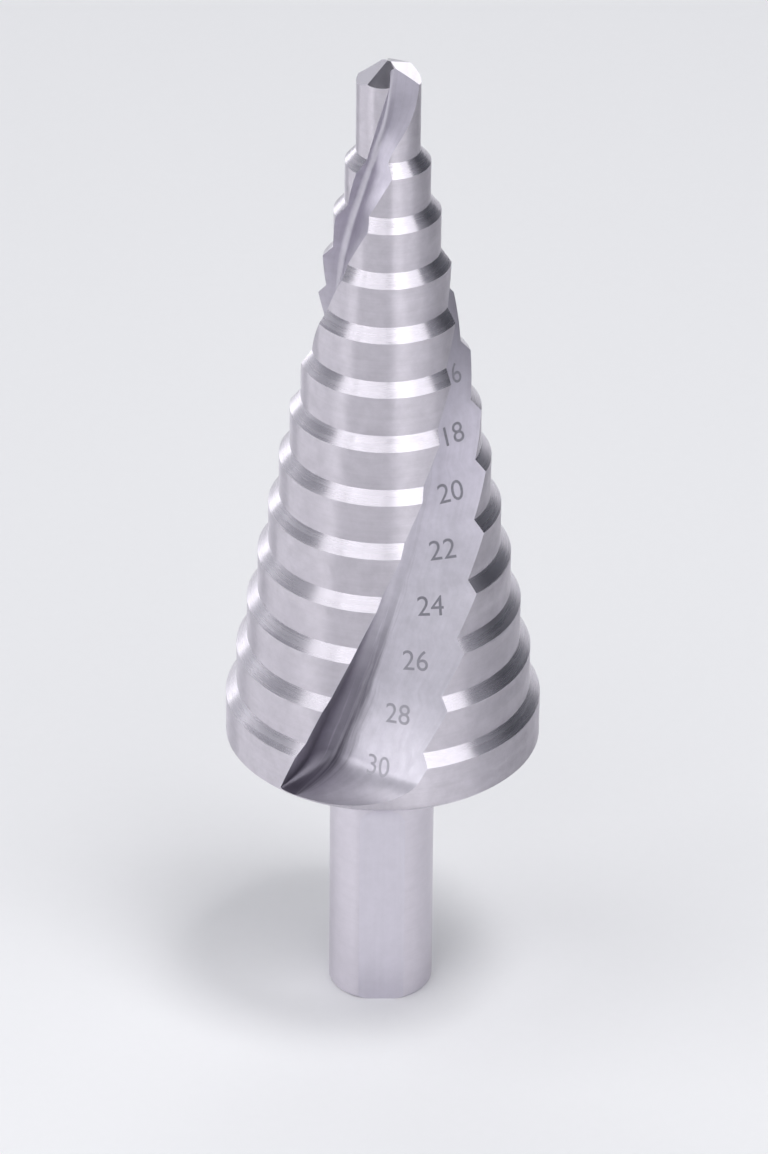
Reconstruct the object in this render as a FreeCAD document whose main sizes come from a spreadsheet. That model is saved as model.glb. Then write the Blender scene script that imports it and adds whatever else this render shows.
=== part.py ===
import FreeCAD, Part
import Sketcher
import math
import os
import re

# Step drill bit of high-speed steel, standing on its shank with the point up.
# The origin is the centre of the shank's flat end and +Z is the axis towards the point.
# Heights in the body are measured from that end; the stepped cone starts at shank_length.

SIZES = {
    # Shank
    "shank_diameter": (10, "round shank that the chuck holds"),
    "shank_length": (28, "from the flat end to the underside of the stepped cone"),
    "shank_rounding": (0.4, "radius of the rounded edge at the flat end"),
    "flat_depth": (0.5, "depth of each driving flat below the round shank"),
    "flat_length": (20, "straight length of a driving flat from the flat end"),
    "flat_runout_radius": (4, "radius of the arc where a driving flat runs out"),
    "flat_count": (3, "driving flats round the shank"),
    # Stepped cone
    "largest_diameter": (30, "diameter of the step beside the shank"),
    "smallest_diameter": (6, "diameter of the pilot step"),
    "step_count": (13, "steps, the pilot included"),
    "step_pitch": (5.2, "height from one step's shoulder to the next"),
    "last_step": (4.6, "height of the largest step below its shoulder"),
    "shoulder_height": (1.2, "height of the bevel that leads into each step"),
    "base_chamfer": (0.4, "chamfer round the underside of the largest step"),
    "pilot_length": (9, "from the pilot's foot to the tip"),
    # Flutes
    "flute_count": (2, "flutes, evenly spaced"),
    "helix_angle": (25.6, "angle between the flute and the axis, in degrees"),
    "helix_clearance": (0.985, "how far the helix's cone stands out from the steps"),
    "pilot_lead": (68, "height of one full turn of the flute in the pilot"),
    "web_base": (10.3, "distance from the axis to the flute floor at the foot of the cone"),
    "web_top": (2.3, "the same distance at the pilot's foot"),
    "web_pilot": (1.0, "the same distance in the pilot"),
    "web_blend": (6.5, "height over which the floor comes in above the pilot's foot"),
    "root_base": (2.0, "radius between floor and rake face at the foot of the cone"),
    "root_top": (0.5, "the same radius at the pilot's foot"),
    "root_pilot": (0.35, "the same radius in the pilot"),
    "runout_start": (0.4, "height above the cone's foot where the flute ends"),
    "runout_length": (3, "height over which the floor rises to the rim"),
    "runout_overshoot": (0.4, "how far past the rim the floor has risen at its end"),
    "cutter_clearance": (4, "how far the cutting section reaches past the largest step"),
    # Point
    "point_angle": (135, "included angle of the point, in degrees"),
    "lip_relief": (10, "relief of the facet behind each cutting lip, in degrees"),
    "heel_relief": (35, "relief of the facet behind that, in degrees"),
    "chisel_offset": (0.15, "distance from the axis to the start of the heel facet"),
    "point_stock": (1, "how far the blank stands over the finished tip"),
    # Placing
    "lip_direction": (-89, "direction of the first lip about the axis, in degrees from +X"),
}

MAIN_SECTIONS = 13
BLEND_SECTIONS = 5
PILOT_SECTIONS = 5
RUNOUT_SECTIONS = 7

# Heights and radii that follow from the sizes
STEP_RISE = "(largest_diameter - smallest_diameter) / 2 / (step_count - 1)"
TAPER = f"({STEP_RISE}) / step_pitch"
HELIX_CONE = f"(largest_diameter / 2 + last_step * {TAPER} + helix_clearance)"
PILOT_FOOT = "(last_step + (step_count - 2) * step_pitch + shoulder_height)"
TIP = f"({PILOT_FOOT} + pilot_length)"
LIP_PITCH = "(90 - point_angle / 2)"
LIP_CORNER = f"({TIP} - smallest_diameter / 2 * tan({LIP_PITCH}))"
FLUTE_END = "(runout_start + runout_length)"
REACH = "(largest_diameter / 2 + cutter_clearance)"
DEGREES_PER_RADIAN = "180 / pi"

# Two places nearer than this are the same, in mm
CLOSE = 1e-4

doc = FreeCAD.newDocument("step_drill")


def make_sheet():
    """The driving sizes, one cell each, with what they measure beside them."""
    sheet = doc.addObject("Spreadsheet::Sheet", "Sizes")
    for row, (alias, (size, meaning)) in enumerate(SIZES.items(), start=1):
        sheet.set(f"A{row}", alias)
        sheet.set(f"B{row}", str(size))
        sheet.setAlias(f"B{row}", alias)
        sheet.set(f"C{row}", meaning)
    doc.recompute()
    return sheet


sheet = make_sheet()


def bound(text):
    """The expression with each size's name, words joined by underscores, pointing at its cell."""
    return re.sub(r"[a-z]+(_[a-z]+)+", lambda name: "Sizes." + name.group(), str(text))


def worth(text):
    """The number that an expression of sizes has now."""
    return float(sheet.evalExpression(bound(text)))


body = doc.addObject("PartDesign::Body", "StepDrill")
body.Label = "step_drill"
origin = {feature.Role: feature for feature in body.Origin.OriginFeatures}


def new_sketch(name, plane):
    """A sketch of the body on one of its origin planes."""
    sketch = body.newObject("Sketcher::SketchObject", name)
    sketch.AttachmentSupport = [(origin[plane], "")]
    sketch.MapMode = "FlatFace"
    return sketch


def constrain(sketch, kind, *geometry, size=None):
    """One constraint, bound to its expression where it has a size."""
    if size is None:
        sketch.addConstraint(Sketcher.Constraint(kind, *geometry))
        return
    index = sketch.addConstraint(Sketcher.Constraint(kind, *geometry, worth(size)))
    sketch.setExpression(f"Constraints[{index}]", bound(size))


def place_start(sketch, edge, x, y):
    """Ties the start of an edge to its place, measured from the sketch's origin."""
    for kind, size in (("DistanceX", x), ("DistanceY", y)):
        if worth(size) == 0:
            axis = -2 if kind == "DistanceX" else -1
            constrain(sketch, "PointOnObject", edge, 1, axis)
        elif worth(size) < 0:
            constrain(sketch, kind, edge, 1, -1, 1, size=f"-({size})")
        else:
            constrain(sketch, kind, -1, 1, edge, 1, size=size)


def polygon(sketch, corners):
    """A closed outline of straight edges through corners given as expressions."""
    spots = [FreeCAD.Vector(worth(x), worth(y), 0) for x, y in corners]
    ends = spots[1:] + spots[:1]
    for start, end in zip(spots, ends):
        sketch.addGeometry(Part.LineSegment(start, end), False)
    for edge, (x, y) in enumerate(corners):
        constrain(sketch, "Coincident", edge, 2, (edge + 1) % len(corners), 1)
        place_start(sketch, edge, x, y)


def blank_corners():
    """Half outline of the turned blank, from the flat end up to the stock over the tip."""
    shank = "shank_diameter / 2"
    radius = "largest_diameter / 2"
    corners = [
        ("0", "0"),
        (shank, "0"),
        (shank, "shank_length"),
        (f"{radius} - base_chamfer", "shank_length"),
        (radius, "shank_length + base_chamfer"),
    ]
    for step in range(int(worth("step_count")) - 1):
        shoulder = f"shank_length + last_step + {step} * step_pitch"
        corners.append((f"{radius} - {step} * {STEP_RISE}", shoulder))
        corners.append((f"{radius} - {step + 1} * {STEP_RISE}", f"{shoulder} + shoulder_height"))
    top = f"shank_length + {TIP} + point_stock"
    corners.append(("smallest_diameter / 2", top))
    corners.append(("0", top))
    return corners


def make_blank():
    """The turned blank: shank, steps with their bevels, and pilot."""
    sketch = new_sketch("BlankProfile", "XZ_Plane")
    polygon(sketch, blank_corners())
    blank = body.newObject("PartDesign::Revolution", "Blank")
    blank.Profile = sketch
    blank.ReferenceAxis = (sketch, ["V_Axis"])
    blank.Angle = 360
    doc.recompute()
    foot = [f"Edge{number}" for number, edge in enumerate(blank.Shape.Edges, start=1)
            if edge.BoundBox.ZLength < CLOSE and abs(edge.BoundBox.ZMin) < CLOSE]
    rounding = body.newObject("PartDesign::Fillet", "ShankRounding")
    rounding.Base = (blank, foot)
    rounding.setExpression("Radius", bound("shank_rounding"))
    doc.recompute()


def helix_turn(height):
    """Turn of the rake face on the cone, constant helix angle, in degrees from its foot."""
    scale = f"tan(helix_angle) / ({TAPER}) * {DEGREES_PER_RADIAN}"
    return f"{scale} * log({HELIX_CONE} / ({HELIX_CONE} - {TAPER} * {height}))"


def rake_turn(height):
    """Direction of the rake face at a height of the cone, seen from the first lip."""
    pilot_turn = f"360 * ({LIP_CORNER} - {PILOT_FOOT}) / pilot_lead"
    return f"{helix_turn(height)} - ({helix_turn(PILOT_FOOT)}) - {pilot_turn}"


def pilot_rake_turn(height):
    """Direction of the rake face at a height of the pilot, seen from the first lip."""
    return f"360 * ({height} - {LIP_CORNER}) / pilot_lead"


def height_of_turn(share):
    """Height on the cone where the flute has made this share of its turn above the run-out."""
    remaining = f"({HELIX_CONE} - {TAPER} * {PILOT_FOOT}) / ({HELIX_CONE} - {TAPER} * {FLUTE_END})"
    radius = f"({HELIX_CONE} - {TAPER} * {FLUTE_END}) * pow({remaining}; {share})"
    return f"(({HELIX_CONE} - {radius}) / ({TAPER}))"


def flute_section(name, height, turn, web, root):
    """Section of the cut: rake face along X, floor square to it, rounded root between."""
    sketch = new_sketch(name, "XY_Plane")
    offset = f"placement(vector(0; 0; shank_length + {height}); rotation({turn}; 0; 0))"
    sketch.setExpression("AttachmentOffset", bound(offset))
    reach, floor, radius = worth(REACH), worth(web), worth(root)
    spots = [(reach, 0), (floor + radius, 0), (floor, radius), (floor, reach), (reach, reach)]
    outer, rake_end, floor_start, floor_end, corner = [FreeCAD.Vector(x, y, 0) for x, y in spots]
    middle = FreeCAD.Vector(floor + radius, radius, 0)
    quarter = Part.Circle(middle, FreeCAD.Vector(0, 0, 1), radius)
    rake = sketch.addGeometry(Part.LineSegment(outer, rake_end), False)
    round_root = sketch.addGeometry(Part.ArcOfCircle(quarter, math.pi, 1.5 * math.pi), False)
    back = sketch.addGeometry(Part.LineSegment(floor_start, floor_end), False)
    far = sketch.addGeometry(Part.LineSegment(floor_end, corner), False)
    side = sketch.addGeometry(Part.LineSegment(corner, outer), False)
    constrain(sketch, "Tangent", rake, 2, round_root, 2)
    constrain(sketch, "Tangent", round_root, 1, back, 1)
    constrain(sketch, "Coincident", back, 2, far, 1)
    constrain(sketch, "Coincident", far, 2, side, 1)
    constrain(sketch, "Coincident", side, 2, rake, 1)
    constrain(sketch, "PointOnObject", rake, 1, -1)
    constrain(sketch, "Horizontal", rake)
    constrain(sketch, "Vertical", back)
    constrain(sketch, "Horizontal", far)
    constrain(sketch, "Vertical", side)
    constrain(sketch, "Radius", round_root, size=root)
    constrain(sketch, "DistanceX", -1, 1, back, 1, size=web)
    constrain(sketch, "DistanceX", -1, 1, side, 2, size=REACH)
    constrain(sketch, "DistanceY", -1, 1, side, 1, size=REACH)
    return sketch


def cut_through(name, sections):
    """Takes the space through a row of sections out of the blank."""
    flute = body.newObject("PartDesign::SubtractiveLoft", name)
    flute.Profile = sections[0]
    flute.Sections = sections[1:]
    doc.recompute()
    return flute


def web_on_cone(height):
    """Distance from the axis to the floor, thinner towards the point."""
    return f"(web_base + (web_top - web_base) * {height} / {PILOT_FOOT})"


def root_on_cone(height):
    """Radius of the root, smaller towards the point."""
    return f"(root_base + (root_top - root_base) * {height} / {PILOT_FOOT})"


def make_cone_flute():
    """The flute along the stepped cone, in sections of equal turn."""
    sections = []
    for index in range(MAIN_SECTIONS):
        height = height_of_turn(index / (MAIN_SECTIONS - 1))
        sections.append(flute_section(
            f"ConeSection{index}", height, rake_turn(height), web_on_cone(height), root_on_cone(height)))
    return cut_through("ConeFlute", sections)


def make_pilot_flute():
    """The flute along the pilot: its floor comes in over the blend and then stays."""
    sections = []
    for index in range(BLEND_SECTIONS + PILOT_SECTIONS):
        share = index / (BLEND_SECTIONS - 1)
        height = f"({PILOT_FOOT} + web_blend * {share})"
        eased = f"(1 - cos(180 * {share})) / 2"
        if index >= BLEND_SECTIONS:
            part = (index - BLEND_SECTIONS + 1) / PILOT_SECTIONS
            over = "(pilot_length - web_blend + 2 * point_stock)"
            height = f"({PILOT_FOOT} + web_blend + {over} * {part})"
            eased = "1"
        web = f"(web_top + (web_pilot - web_top) * {eased})"
        root = f"(root_top + (root_pilot - root_top) * {eased})"
        sections.append(flute_section(
            f"PilotSection{index}", height, pilot_rake_turn(height), web, root))
    return cut_through("PilotFlute", sections)


def make_runout():
    """The end of the flute at the cone's foot: the floor rises to the rim on a quarter ellipse."""
    sections = []
    rim = "(largest_diameter / 2 + runout_overshoot)"
    for index in range(RUNOUT_SECTIONS):
        turn = 90 * index / (RUNOUT_SECTIONS - 1)
        height = f"({FLUTE_END} - runout_length * sin({turn}))"
        floor = web_on_cone(FLUTE_END)
        web = f"({floor} + ({rim} - {floor}) * (1 - cos({turn})))"
        sections.append(flute_section(
            f"RunoutSection{index}", height, rake_turn(height), web, root_on_cone(FLUTE_END)))
    return cut_through("FluteRunout", sections)


def repeat_round(name, features, count):
    """Copies of the features, evenly spaced round the axis."""
    pattern = body.newObject("PartDesign::PolarPattern", name)
    pattern.Originals = features
    pattern.Axis = (origin["Z_Axis"], [""])
    pattern.Angle = 360
    pattern.setExpression("Occurrences", bound(count))
    body.Tip = pattern
    doc.recompute()
    return pattern


def facet(name, offset):
    """A flat ground on the point: everything over the plane goes."""
    sketch = new_sketch(name + "Plane", "XY_Plane")
    sketch.setExpression("AttachmentOffset", bound(offset))
    edge = "smallest_diameter"
    polygon(sketch, [(f"-{edge}", f"-{edge}"), (edge, f"-{edge}"), (edge, edge), (f"-{edge}", edge)])
    cut = body.newObject("PartDesign::Pocket", name)
    cut.Profile = sketch
    cut.Reversed = True
    cut.setExpression("Length", bound(edge))
    doc.recompute()
    return cut


def make_point():
    """Four flats meeting at the tip: one behind each lip and a steeper one behind that."""
    top = f"shank_length + {TIP}"
    lip = facet("LipFacet", f"placement(vector(0; 0; {top}); rotation(0; {LIP_PITCH}; lip_relief))")
    repeat_round("LipFacets", [lip], "flute_count")
    heel = facet(
        "HeelFacet", f"placement(vector(0; -chisel_offset; {top}); rotation(0; 0; heel_relief))")
    repeat_round("HeelFacets", [heel], "flute_count")


def make_driving_flats():
    """Flats that stop the shank turning in the chuck, each running out on an arc."""
    sketch = new_sketch("DrivingFlatProfile", "XZ_Plane")
    depth, radius = worth("shank_diameter / 2 - flat_depth"), worth("flat_runout_radius")
    length, reach = worth("flat_length"), worth("shank_diameter / 2 + flat_depth")
    across = (radius - (reach - depth)) / radius
    rise = radius * (1 - across ** 2) ** 0.5
    foot = FreeCAD.Vector(depth, 0, 0)
    start = FreeCAD.Vector(depth, length, 0)
    end = FreeCAD.Vector(reach, length + rise, 0)
    outside = FreeCAD.Vector(reach, 0, 0)
    middle = FreeCAD.Vector(depth + radius, length, 0)
    wheel = Part.Circle(middle, FreeCAD.Vector(0, 0, 1), radius)
    floor = sketch.addGeometry(Part.LineSegment(foot, start), False)
    arc = sketch.addGeometry(Part.ArcOfCircle(wheel, wheel.parameter(end), math.pi), False)
    side = sketch.addGeometry(Part.LineSegment(end, outside), False)
    bottom = sketch.addGeometry(Part.LineSegment(outside, foot), False)
    constrain(sketch, "Tangent", floor, 2, arc, 2)
    constrain(sketch, "Coincident", arc, 1, side, 1)
    constrain(sketch, "Coincident", side, 2, bottom, 1)
    constrain(sketch, "Coincident", bottom, 2, floor, 1)
    constrain(sketch, "Vertical", side)
    constrain(sketch, "PointOnObject", bottom, 1, -1)
    constrain(sketch, "PointOnObject", floor, 1, -1)
    constrain(sketch, "Vertical", floor)
    constrain(sketch, "Radius", arc, size="flat_runout_radius")
    constrain(sketch, "DistanceX", -1, 1, floor, 1, size="shank_diameter / 2 - flat_depth")
    constrain(sketch, "DistanceX", -1, 1, bottom, 1, size="shank_diameter / 2 + flat_depth")
    constrain(sketch, "DistanceY", -1, 1, floor, 2, size="flat_length")
    flat = body.newObject("PartDesign::Pocket", "DrivingFlat")
    flat.Profile = sketch
    flat.Midplane = True
    flat.setExpression("Length", bound("2 * shank_diameter"))
    doc.recompute()
    repeat_round("DrivingFlats", [flat], "flat_count")


make_blank()
blank_volume = body.Shape.Volume
flutes = [make_cone_flute(), make_pilot_flute(), make_runout()]
repeat_round("Flutes", flutes, "flute_count")
fluted_volume = body.Shape.Volume
make_point()
make_driving_flats()
body.setExpression("Placement", bound("placement(vector(0; 0; 0); rotation(lip_direction; 0; 0))"))
doc.recompute()

for item in doc.Objects:
    if "Invalid" in item.State or "Error" in item.State:
        raise RuntimeError(f"{item.Label}: {item.State}")
if body.Shape.isNull() or not body.Shape.isValid():
    raise RuntimeError(f"{body.Label} has no valid shape")
if not body.Shape.Volume < fluted_volume < blank_volume:
    raise RuntimeError("a cut took nothing away")

os.makedirs("parts", exist_ok=True)
body.Shape.exportStep(f"parts/{body.Label}.step")
box = body.Shape.BoundBox
print(body.Label, [round(v, 3) for v in (box.XMin, box.XMax, box.YMin, box.YMax, box.ZMin, box.ZMax)])
print("volumes", round(blank_volume), round(fluted_volume), round(body.Shape.Volume),
      "solids", len(body.Shape.Solids), "faces", len(body.Shape.Faces))
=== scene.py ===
import math

import bmesh
import bpy
import numpy as np
from bpy.props import FloatProperty, FloatVectorProperty, IntProperty, PointerProperty
from mathutils import Matrix, Vector


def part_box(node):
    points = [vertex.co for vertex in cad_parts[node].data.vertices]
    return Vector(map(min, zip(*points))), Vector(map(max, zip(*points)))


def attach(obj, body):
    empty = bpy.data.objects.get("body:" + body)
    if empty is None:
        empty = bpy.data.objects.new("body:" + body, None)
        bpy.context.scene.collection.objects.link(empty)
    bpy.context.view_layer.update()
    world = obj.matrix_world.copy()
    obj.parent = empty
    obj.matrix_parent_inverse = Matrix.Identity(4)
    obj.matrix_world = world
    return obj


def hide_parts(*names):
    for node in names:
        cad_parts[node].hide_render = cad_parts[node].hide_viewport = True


bl_info = {
    "name": "Step Drill Bit",
    "version": (1, 0, 0),
    "blender": (4, 5, 0),
    "location": "View3D > Sidebar > Step Drill",
    "description": "Ground surfaces, size marks and studio for a step drill bit",
    "category": "Add Mesh",
}

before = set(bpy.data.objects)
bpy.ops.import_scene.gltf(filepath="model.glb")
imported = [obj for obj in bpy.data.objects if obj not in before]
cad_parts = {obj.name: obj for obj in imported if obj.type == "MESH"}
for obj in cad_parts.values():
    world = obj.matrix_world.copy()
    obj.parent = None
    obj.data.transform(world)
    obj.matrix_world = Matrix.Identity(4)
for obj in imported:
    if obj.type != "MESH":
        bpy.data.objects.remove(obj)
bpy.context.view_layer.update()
DRILL_LOW, DRILL_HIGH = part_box("step_drill")
MM = 0.001

# Points nearer to each other than this are joined, and slopes are taken this far up and down
NEAR = 1e-7
# Ratios and angles that differ by less than this are taken as equal
SLACK = 1e-6
# Decimals to which heights and turns are compared
DECIMALS = 9
# How often a column of faces looks again for its end on the facets
MEETING_ROUNDS = 30
# Places across a land that are tried for the ridge between its two facets
RIDGE_TRIES = np.linspace(0.4, 1, 4001)
# Levels on the cone: where a flute opens, up its run-out, and easing to the facets
OPENING_LEVELS, RUNOUT_LEVELS, EASING_LEVELS = 9, 26, 8
# Levels on the shank: round its end, up the flats, up their run-out and on to the cone
END_LEVELS, FLAT_LEVELS, FLAT_RUNOUT_LEVELS, NECK_LEVELS = 9, 24, 20, 9
# Height of the pilot's numeral above the pilot's foot, in step pitches
PILOT_NUMERAL = 0.62
# Height of a numeral as a share of its typeface's size
NUMERAL_SHARE = 0.7
# Rings of the floor, and the sides of each
FLOOR_RINGS, FLOOR_SIDES = 6, 64
# From each lamp to the drill's middle
LAMP_DISTANCE = 0.8
# Direction of the room's darker corner, behind the drill on the right
CORNER = (0.643, 0.766, 0)
# Width of the camera's frame in millimetres, and where its view starts in metres
FRAME_WIDTH, CLIP_START = 36, 0.01


def length(name, description, default, **more):
    """A property for a length in metres."""
    return FloatProperty(
        name=name, description=description, default=default, unit="LENGTH", precision=5, **more)


def angle(name, description, degrees):
    """A property for an angle, given in degrees and kept in radians."""
    return FloatProperty(
        name=name, description=description, default=math.radians(degrees), subtype="ANGLE")


def how_many(name, description, default):
    """A property for a number of things."""
    return IntProperty(name=name, description=description, default=default)


def linear(code):
    """The linear colour of an sRGB hex value such as #D8D9DE."""
    parts = [int(code[i:i + 2], 16) / 255 for i in (1, 3, 5)]
    return [p / 12.92 if p <= 0.04045 else ((p + 0.055) / 1.055) ** 2.4 for p in parts]


def colour(name, description, code):
    """A property for a colour, given as an sRGB hex value."""
    return FloatVectorProperty(
        name=name, description=description, default=linear(code), size=3, min=0, max=1,
        subtype="COLOR")


class ShankSizes(bpy.types.PropertyGroup):
    """The plain shank and its driving flats."""
    diameter: length("Diameter", "Round shank that the chuck holds", 10 * MM)
    height: length("Length", "From the flat end to the underside of the cone", 28 * MM)
    rounding: length("End rounding", "Radius of the rounded edge at the flat end", 0.4 * MM)
    flats: how_many("Flats", "Driving flats round the shank", 3)
    flat_depth: length("Flat depth", "Depth of a driving flat below the round shank", 0.5 * MM)
    flat_length: length("Flat length", "Straight length of a driving flat", 20 * MM)
    flat_runout: length("Flat run-out", "Radius of the arc where a flat runs out", 4 * MM)


class ConeSizes(bpy.types.PropertyGroup):
    """The stepped cone and its pilot."""
    largest: length("Largest diameter", "Step beside the shank", DRILL_HIGH.x - DRILL_LOW.x)
    smallest: length("Smallest diameter", "Pilot step", 6 * MM)
    steps: how_many("Steps", "Steps, the pilot included", 13)
    pitch: length("Step pitch", "Height from one shoulder to the next", 5.2 * MM)
    last_step: length("Last step", "Height of the largest step below its shoulder", 4.6 * MM)
    shoulder: length("Shoulder", "Height of the bevel that leads into each step", 1.2 * MM)
    chamfer: length("Base chamfer", "Chamfer round the underside of the cone", 0.4 * MM)


class FluteSizes(bpy.types.PropertyGroup):
    """The two spiral flutes."""
    helix: angle("Helix angle", "Angle between the flute and the axis", 25.6)
    helix_clearance: length(
        "Helix clearance", "How far the helix's cone stands out from the steps", 0.985 * MM)
    pilot_lead: length("Pilot lead", "Height of one full turn of the flute in the pilot", 68 * MM)
    web_base: length(
        "Web at the foot", "From the axis to the flute floor at the cone's foot", 10.3 * MM)
    web_top: length("Web at the top", "The same at the pilot's foot", 2.3 * MM)
    web_pilot: length("Web in the pilot", "The same in the pilot", 1.0 * MM)
    web_blend: length(
        "Web blend", "Height over which the floor comes in above the pilot's foot", 6.5 * MM)
    root_base: length(
        "Root at the foot", "Radius between floor and rake face at the cone's foot", 2.0 * MM)
    root_top: length("Root at the top", "The same at the pilot's foot", 0.5 * MM)
    root_pilot: length("Root in the pilot", "The same in the pilot", 0.35 * MM)
    runout_start: length("Run-out start", "Height above the cone's foot at its end", 0.4 * MM)
    runout: length("Run-out", "Height over which the floor rises to the rim", 3 * MM)
    runout_over: length("Run-out over", "How far past the rim the floor has risen", 0.4 * MM)
    # Painted shade: the flute's root is darkened in its colour, for the shade and dark reflections
    # in the hollow
    streaked: length(
        "Darkest shade", "The root is darkest up to here above the cone's foot", 11 * MM)
    clean: length("Unshaded", "The root is nearly clean from here above the cone's foot", 20 * MM)
    # Painted shade: the flute's floor is darkened in its colour towards the point
    dull: length("Shaded floor", "The flute's floor is darker from here above the cone's foot", 31 * MM)


class PointSizes(bpy.types.PropertyGroup):
    """The four ground facets of the point."""
    included: angle("Point angle", "Included angle of the two lips", 135)
    lip_relief: angle("Lip relief", "Relief of the facet behind each lip", 10)
    heel_relief: angle("Heel relief", "Relief of the facet behind that", 35)
    chisel: length("Chisel offset", "From the axis to the start of the heel facet", 0.15 * MM)
    direction: angle("Lip direction", "Direction of the first lip about the axis", -89)


class MarkSizes(bpy.types.PropertyGroup):
    """The size marks on the flute's floor."""
    height: length("Height", "Height of a numeral", 1.85 * MM)
    lean: angle("Lean", "Turn of a numeral on the floor, counter-clockwise", 6)
    share: FloatProperty(
        name="Share", description="Place across the floor, from the root", default=0.58,
        subtype="FACTOR")
    drop: length("Drop", "From a step's shoulder down to its numeral's middle", 1.25 * MM)
    thickness: length("Thickness", "Thickness of the marked skin", 0.016 * MM)
    # Painted highlight: the marks are washed out towards the cone's foot
    faint: length("Faint", "The marks are fainter up to here above the cone's foot", 18 * MM)


class FinishColours(bpy.types.PropertyGroup):
    """Colours of the steel, the marks and the stage."""
    steel: colour("Steel", "Bright ground high-speed steel", "#DFDAE3")
    flute: colour("Flute", "Ground steel inside the flutes", "#DCD8E2")
    mark: colour("Mark", "Oxide left by the marking laser", "#5C5B64")
    floor: colour("Floor", "Pale studio floor", "#F2F2F4")


class MeshDetail(bpy.types.PropertyGroup):
    """How finely the ground surfaces are divided."""
    row: length("Row", "Largest height of a row of faces on the cone", 0.34 * MM)
    rake: how_many("Rake columns", "Columns across a rake face", 8)
    root: how_many("Root columns", "Columns round a flute's root", 8)
    floor: how_many("Floor columns", "Columns across a flute's floor", 14)
    land: how_many("Land columns", "Columns round a land", 66)
    arc: how_many("Shank columns", "Columns round each third of the shank", 36)


class StageSizes(bpy.types.PropertyGroup):
    """Camera, lamps and floor."""
    distance: length("Camera distance", "From the camera to the foot of the cone", 805 * MM)
    elevation: angle("Elevation", "Height of the view above level, at the foot of the cone", 31.96)
    aside: length("Aside", "How far the camera stands to the left of the axis", 1.3 * MM)
    roll: angle("Roll", "Turn of the picture about its middle", 0.56)
    focal: FloatProperty(
        name="Focal length", description="Focal length on a 36 mm frame", default=262)
    aim: length("Aim", "Height that the camera looks at", 45 * MM)
    floor_radius: length("Floor radius", "Radius of the round floor", 3.0)


class StepDrillSettings(bpy.types.PropertyGroup):
    """Everything that can be set."""
    shank: PointerProperty(type=ShankSizes)
    cone: PointerProperty(type=ConeSizes)
    flute: PointerProperty(type=FluteSizes)
    point: PointerProperty(type=PointSizes)
    marks: PointerProperty(type=MarkSizes)
    colours: PointerProperty(type=FinishColours)
    detail: PointerProperty(type=MeshDetail)
    stage: PointerProperty(type=StageSizes)


def settings():
    """The scene's settings."""
    return bpy.context.scene.step_drill


# Heights and radii of the cone

def step_rise(s):
    """How much smaller a step's radius is than that of the step below it."""
    return (s.cone.largest - s.cone.smallest) / 2 / (s.cone.steps - 1)


def step_radius(s, step):
    """Radius of a step, where steps are counted up from the largest, which is 0."""
    return s.cone.largest / 2 - step * step_rise(s)


def shoulder_height(s, step):
    """Height at which a step ends and the bevel above it begins."""
    return s.shank.height + s.cone.last_step + step * s.cone.pitch


def pilot_foot(s):
    """Height of the pilot's foot, where the last bevel ends."""
    return shoulder_height(s, s.cone.steps - 2) + s.cone.shoulder


def cone_profile(s):
    """Heights and radii of the turned outline: chamfer, then a cylinder and a bevel for each step.

    Between two of these points the radius changes evenly with height."""
    c = s.cone
    foot = s.shank.height
    heights, radii = [foot, foot + c.chamfer], [c.largest / 2 - c.chamfer, c.largest / 2]
    for step in range(c.steps - 1):
        shoulder = shoulder_height(s, step)
        heights += [shoulder, shoulder + c.shoulder]
        radii += [step_radius(s, step), step_radius(s, step + 1)]
    return np.array(heights + [DRILL_HIGH.z]), np.array(radii + [c.smallest / 2])


def radius_at(s, z):
    """Radius of the turned outline at a height."""
    return np.interp(z, *cone_profile(s))


def lip_slopes(s):
    """How steeply a lip's facet falls along the lip, and behind it by its relief."""
    fall = math.pi / 2 - s.point.included / 2
    return math.tan(fall), math.tan(s.point.lip_relief) / math.cos(fall)


def lip_corner(s):
    """Height of a lip's outer corner: the tip less the fall of the lip over the pilot's radius."""
    return DRILL_HIGH.z - s.cone.smallest / 2 * lip_slopes(s)[0]


def rake_direction(s, z):
    """Direction of the first rake face about the axis, in radians.

    On the cone the flute keeps its angle to the axis, so the turn grows as the logarithm of the
    helix cone's radius at the foot over its radius at z. In the pilot it grows evenly with z."""
    c, f = s.cone, s.flute
    foot, top = s.shank.height, pilot_foot(s)
    taper = step_rise(s) / c.pitch
    base = c.largest / 2 + c.last_step * taper + f.helix_clearance
    growth = np.log(base / (base - taper * (np.minimum(z, top) - foot)))
    whole = math.log(base / (base - taper * (top - foot)))
    pilot = 2 * math.pi * (np.maximum(z, top) - lip_corner(s)) / f.pilot_lead
    return s.point.direction + math.tan(f.helix) / taper * (growth - whole) + pilot


def runout_top(s):
    """Height below which the flute's floor rises to the rim."""
    return s.shank.height + s.flute.runout_start + s.flute.runout


def along_flute(s, z, base, top, pilot):
    """A size of the flute at a height. It changes evenly from the cone's foot to the pilot's, and
    above that eases into its value in the pilot along half a cosine wave."""
    low, high = s.shank.height, pilot_foot(s)
    share = np.clip((z - low) / (high - low), 0, 1)
    eased = (1 - np.cos(np.pi * np.clip((z - high) / s.flute.web_blend, 0, 1))) / 2
    return base + (top - base) * share + (pilot - top) * eased


def web_at(s, z):
    """Distance from the axis to the flute's floor, which at the foot of the cone rises to the rim
    on a quarter of an ellipse."""
    f = s.flute
    sizes = f.web_base, f.web_top, f.web_pilot
    start = runout_top(s)
    web = along_flute(s, start, *sizes)
    fall = np.clip((start - z) / f.runout, 0, 1)
    ramp = web + (s.cone.largest / 2 + f.runout_over - web) * (1 - np.sqrt(1 - fall ** 2))
    return np.where(z < start, ramp, along_flute(s, z, *sizes))


def root_at(s, z):
    """Radius of the flute's root, smaller towards the point and constant along the run-out."""
    f = s.flute
    return along_flute(s, np.maximum(z, runout_top(s)), f.root_base, f.root_top, f.root_pilot)


# The fluted cone

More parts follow.
